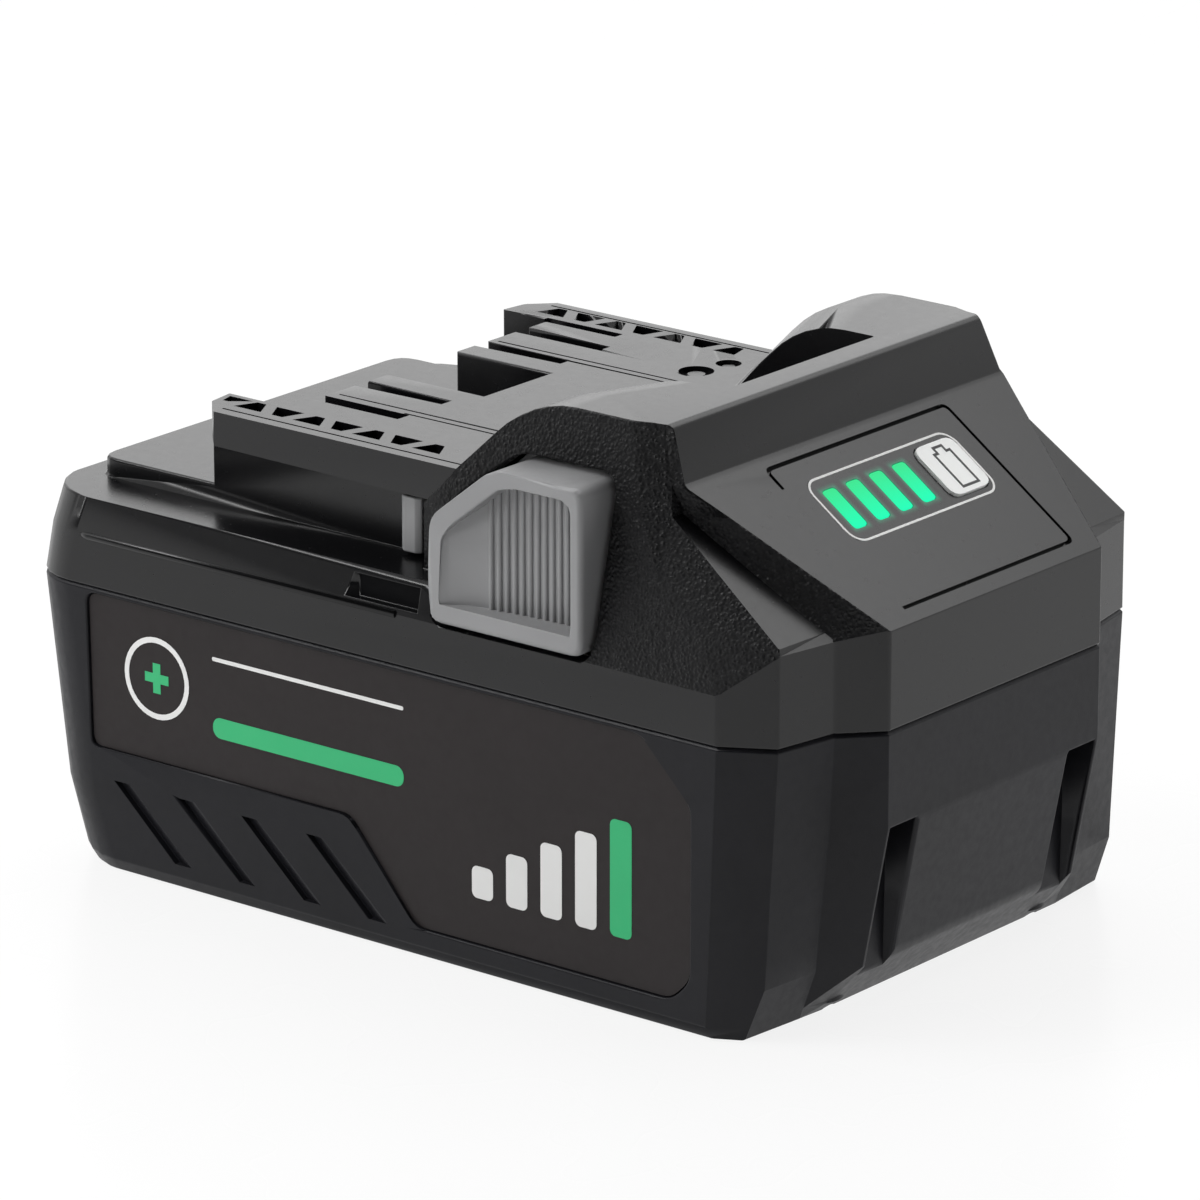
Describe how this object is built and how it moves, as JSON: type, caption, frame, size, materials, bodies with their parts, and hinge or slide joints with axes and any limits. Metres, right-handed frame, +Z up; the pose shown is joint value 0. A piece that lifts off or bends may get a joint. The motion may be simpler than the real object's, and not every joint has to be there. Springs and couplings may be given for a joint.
{
  "type": "power tool battery pack",
  "caption": "Slide-on battery pack for a cordless tool: dark two-part case with rails and slotted deck on top, hood with charge gauge and side latch buttons.",
  "frame": {"origin": "centre of the bottom face, on the surface the pack stands on", "axes": "+X towards the gauge end, -Y the label side seen in the picture, +Z up"},
  "size_m": [0.12, 0.077, 0.07],
  "materials": {
    "case": "semi-gloss moulded",
    "label": "printed film, satin",
    "latch": "satin moulded",
    "window": "smooth",
    "key": "satin",
    "light": "translucent, lit",
    "board": "solder mask",
    "steel": "zinc plated",
    "copper": "bare metal",
    "nickel": "rolled",
    "holder": "moulded",
    "sleeve": "shrink sleeve",
    "sheet": "pressed paper",
    "foam": "foam",
    "chip": "moulded epoxy",
    "ribbon": "film"
  },
  "bodies": {
    "pack": {"lower_case": "case", "upper_case": "case", "left_label": "label", "left_latch_spring": "steel", "right_label": "label", "right_latch_spring": "steel", "gauge_window": "window", "light_bar_1": "light", "light_bar_2": "light", "light_bar_3": "light", "light_bar_4": "light", "gauge_board": "board", "gauge_leds": "light", "switch_body": "chip", "gauge_screws": "steel", "gauge_ribbon": "ribbon", "main_board": "board", "board_screws": "steel", "terminal_block": "chip", "contact_1": "copper", "contact_2": "copper", "contact_3": "copper", "contact_4": "copper", "power_transistors": "chip", "fuse": "sheet", "controller_chip": "chip", "ribbon_header": "sheet", "left_cell_holder": "holder", "right_cell_holder": "holder", "cell_1": "sleeve", "cell_2": "sleeve", "cell_3": "sleeve", "cell_4": "sleeve", "cell_5": "sleeve", "cell_6": "sleeve", "cell_7": "sleeve", "cell_8": "sleeve", "cell_9": "sleeve", "cell_10": "sleeve", "nickel_strip_1": "nickel", "nickel_strip_2": "nickel", "nickel_strip_3": "nickel", "nickel_strip_4": "nickel", "nickel_strip_5": "nickel", "nickel_strip_6": "nickel", "left_insulator": "sheet", "right_insulator": "sheet", "left_foam": "foam", "right_foam": "foam", "thermistor": "chip", "case_screws": "steel"},
    "left_latch": {"left_latch": "latch"},
    "right_latch": {"right_latch": "latch"},
    "gauge_key": {"gauge_key": "key", "switch_plunger": "key"}
  },
  "joints": [
    {"name": "left_latch_slide", "type": "slide", "parent": "pack", "child": "left_latch", "axis": [0, 1, 0], "range_m": [0, 0.003], "stiffness_N_per_m": 1500, "springref_m": -0.003, "deforming": ["left_latch_spring"]},
    {"name": "right_latch_slide", "type": "slide", "parent": "pack", "child": "right_latch", "axis": [0, -1, 0], "range_m": [0, 0.003], "stiffness_N_per_m": 1500, "springref_m": -0.003, "deforming": ["right_latch_spring"]},
    {"name": "gauge_key_press", "type": "slide", "parent": "pack", "child": "gauge_key", "axis": [-0.5736, 0, -0.8192], "range_m": [0, 0.0004], "stiffness_N_per_m": 5000, "springref_m": -0.0002}
  ]
}
